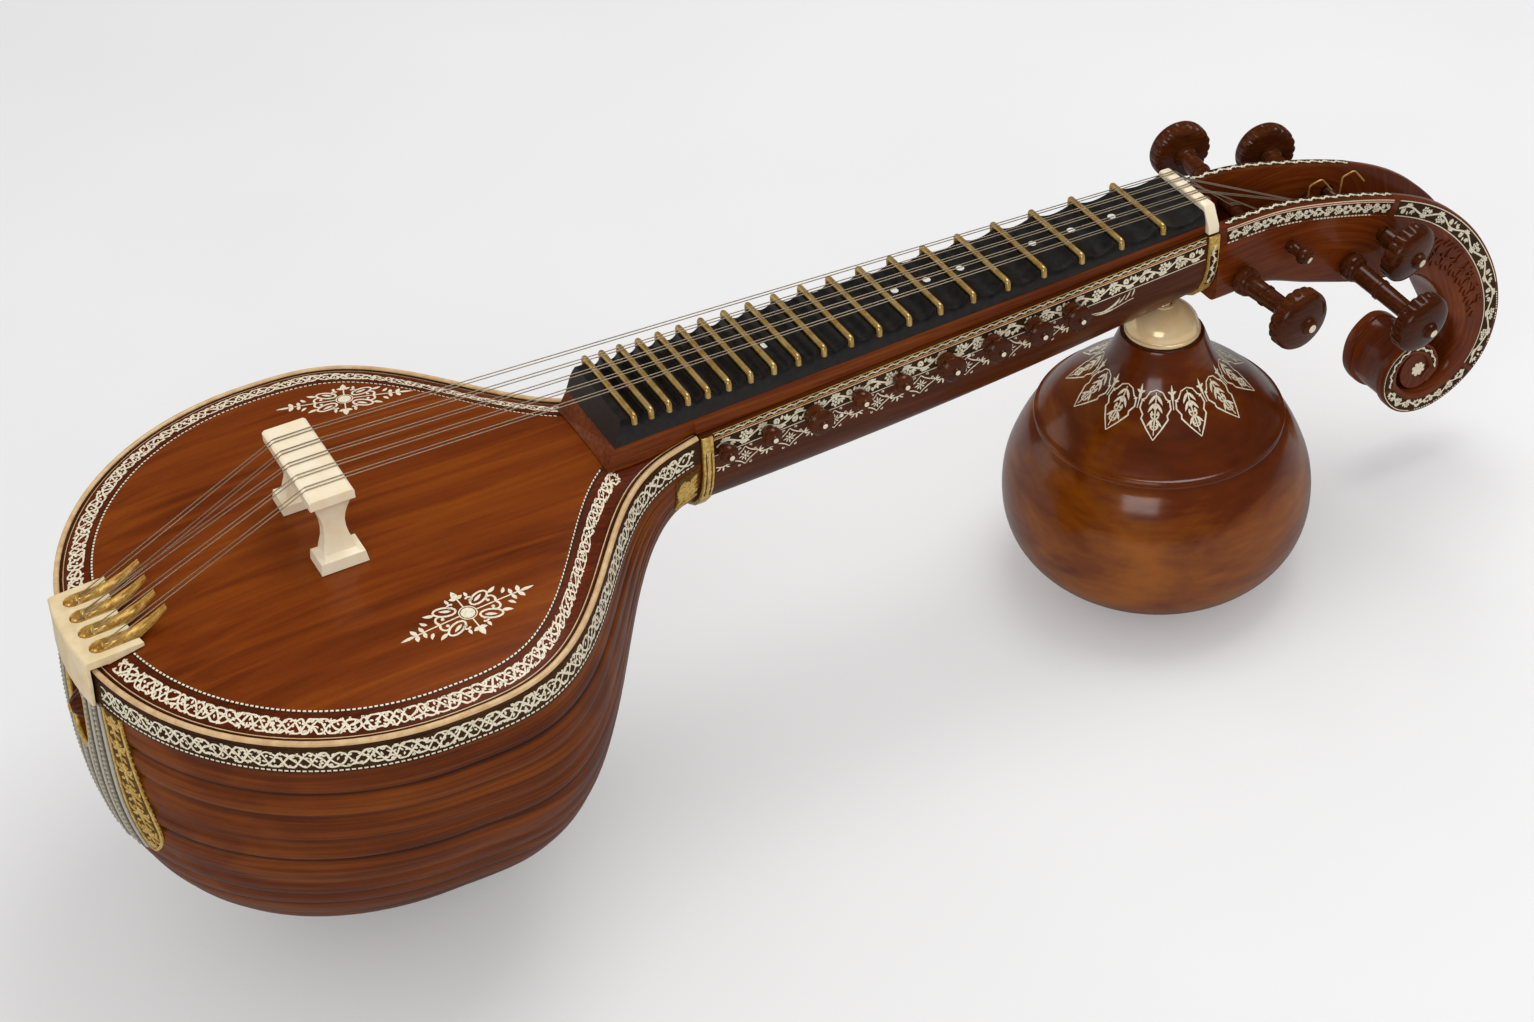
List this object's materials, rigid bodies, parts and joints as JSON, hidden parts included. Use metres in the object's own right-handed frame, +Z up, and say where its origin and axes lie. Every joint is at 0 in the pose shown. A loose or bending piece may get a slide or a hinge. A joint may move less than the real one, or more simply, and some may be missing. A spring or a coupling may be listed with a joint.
{
  "type": "veena",
  "caption": "Long plucked lute with a round fluted bowl, a raised black fretboard, a curled scroll pegbox with pegs that turn, and a screw-on gourd resonator below the neck.",
  "frame": {"origin": "on the floor, under the middle of the bounding box", "axes": "+X along the neck from the bowl to the scroll, +Z up, -Y the player's near side with the row of small pegs"},
  "size_m": [1.228, 0.4286, 0.3798],
  "materials": {
    "bowl_wood": "dark red-brown, satin lacquer",
    "soundboard_wood": "red-brown, satin lacquer",
    "plinth_wood": "red-brown, satin lacquer",
    "neck_wood": "dark brown, inlaid, satin lacquer",
    "scroll_wood": "dark brown, carved and inlaid",
    "peg_wood": "near-black brown, polished",
    "black_fretboard": "black wax, satin",
    "bone": "cream bone, rubbed smooth",
    "gilt_brass": "chased gilt metal",
    "polished_brass": "polished",
    "fret_brass": "drawn rod, rubbed",
    "string_steel": "drawn wire",
    "gourd_skin": "orange-brown, high gloss lacquer"
  },
  "bodies": {
    "body": {"bowl_shell": "bowl_wood", "soundboard": "soundboard_wood", "bone_binding": "bone", "tail_saddle": "bone", "tail_clip_1": "polished_brass", "tail_clip_2": "polished_brass", "tail_clip_3": "polished_brass", "tail_clip_4": "polished_brass", "tail_peg": "peg_wood", "bridge": "bone", "joint_ring": "gilt_brass", "neck": "neck_wood", "fretboard_plinth": "plinth_wood", "fretboard": "black_fretboard", "fret_01": "fret_brass", "fret_02": "fret_brass", "fret_03": "fret_brass", "fret_04": "fret_brass", "fret_05": "fret_brass", "fret_06": "fret_brass", "fret_07": "fret_brass", "fret_08": "fret_brass", "fret_09": "fret_brass", "fret_10": "fret_brass", "fret_11": "fret_brass", "fret_12": "fret_brass", "fret_13": "fret_brass", "fret_14": "fret_brass", "fret_15": "fret_brass", "fret_16": "fret_brass", "fret_17": "fret_brass", "fret_18": "fret_brass", "fret_19": "fret_brass", "fret_20": "fret_brass", "nut": "bone", "nut_ring": "gilt_brass", "pegbox_scroll": "scroll_wood", "string_course_1": "string_steel", "string_course_2": "string_steel", "string_course_3": "string_steel", "string_course_4": "string_steel", "string_course_5": "string_steel"},
    "gourd": {"gourd": "gourd_skin", "brass_cup": "polished_brass", "gourd_screw": "polished_brass"},
    "tuning_peg_near_1": {"tuning_peg_near_1": "peg_wood"},
    "tuning_peg_near_2": {"tuning_peg_near_2": "peg_wood"},
    "tuning_peg_near_3": {"tuning_peg_near_3": "peg_wood"},
    "tuning_peg_far_1": {"tuning_peg_far_1": "peg_wood"},
    "tuning_peg_far_2": {"tuning_peg_far_2": "peg_wood"},
    "drone_peg": {"drone_peg": "peg_wood"},
    "side_peg_1": {"side_peg_1": "peg_wood"},
    "side_peg_2": {"side_peg_2": "peg_wood"},
    "side_peg_3": {"side_peg_3": "peg_wood"},
    "side_peg_4": {"side_peg_4": "peg_wood"},
    "side_peg_5": {"side_peg_5": "peg_wood"},
    "side_peg_6": {"side_peg_6": "peg_wood"},
    "side_peg_7": {"side_peg_7": "peg_wood"},
    "side_peg_8": {"side_peg_8": "peg_wood"},
    "side_peg_9": {"side_peg_9": "peg_wood"}
  },
  "joints": [
    {"name": "gourd_screw_turn", "type": "hinge", "parent": "body", "child": "gourd", "pos_m": [0.282, -0.008, 0.25], "axis": [0, 0, 1], "range_deg": [-360, 0]},
    {"name": "tuning_peg_near_1_turn", "type": "hinge", "parent": "body", "child": "tuning_peg_near_1", "pos_m": [0.32303, 0.03229, 0.28926], "axis": [0.133, -0.9884, -0.0739], "continuous": true},
    {"name": "tuning_peg_near_2_turn", "type": "hinge", "parent": "body", "child": "tuning_peg_near_2", "pos_m": [0.43205, 0.02855, 0.26953], "axis": [0.1295, -0.9757, -0.1766], "continuous": true},
    {"name": "tuning_peg_near_3_turn", "type": "hinge", "parent": "body", "child": "tuning_peg_near_3", "pos_m": [0.46136, 0.02648, 0.28614], "axis": [0.2068, -0.9563, -0.2068], "continuous": true},
    {"name": "tuning_peg_far_1_turn", "type": "hinge", "parent": "body", "child": "tuning_peg_far_1", "pos_m": [0.35611, -0.03202, 0.30461], "axis": [0.091, 0.9917, 0.091], "continuous": true},
    {"name": "tuning_peg_far_2_turn", "type": "hinge", "parent": "body", "child": "tuning_peg_far_2", "pos_m": [0.43489, -0.02929, 0.28408], "axis": [0.1476, 0.9886, 0.0295], "continuous": true},
    {"name": "drone_peg_turn", "type": "hinge", "parent": "body", "child": "drone_peg", "pos_m": [0.37598, -0.02403, 0.30052], "axis": [0.2513, -0.9347, -0.2513], "continuous": true},
    {"name": "side_peg_1_turn", "type": "hinge", "parent": "body", "child": "side_peg_1", "pos_m": [-0.1255, -0.02817, 0.30309], "axis": [0, -1, 0], "continuous": true},
    {"name": "side_peg_2_turn", "type": "hinge", "parent": "body", "child": "side_peg_2", "pos_m": [-0.0895, -0.02752, 0.30427], "axis": [0, -1, 0], "continuous": true},
    {"name": "side_peg_3_turn", "type": "hinge", "parent": "body", "child": "side_peg_3", "pos_m": [-0.05151, -0.02684, 0.30551], "axis": [0, -1, 0], "continuous": true},
    {"name": "side_peg_4_turn", "type": "hinge", "parent": "body", "child": "side_peg_4", "pos_m": [-0.01351, -0.02615, 0.30675], "axis": [0, -1, 0], "continuous": true},
    {"name": "side_peg_5_turn", "type": "hinge", "parent": "body", "child": "side_peg_5", "pos_m": [0.02151, -0.02552, 0.3079], "axis": [0, -1, 0], "continuous": true},
    {"name": "side_peg_6_turn", "type": "hinge", "parent": "body", "child": "side_peg_6", "pos_m": [0.0615, -0.0248, 0.30921], "axis": [0, -1, 0], "continuous": true},
    {"name": "side_peg_7_turn", "type": "hinge", "parent": "body", "child": "side_peg_7", "pos_m": [0.10149, -0.02408, 0.31052], "axis": [0, -1, 0], "continuous": true},
    {"name": "side_peg_8_turn", "type": "hinge", "parent": "body", "child": "side_peg_8", "pos_m": [0.13851, -0.02341, 0.31173], "axis": [0, -1, 0], "continuous": true},
    {"name": "side_peg_9_turn", "type": "hinge", "parent": "body", "child": "side_peg_9", "pos_m": [0.17251, -0.02279, 0.31284], "axis": [0, -1, 0], "continuous": true}
  ]
}
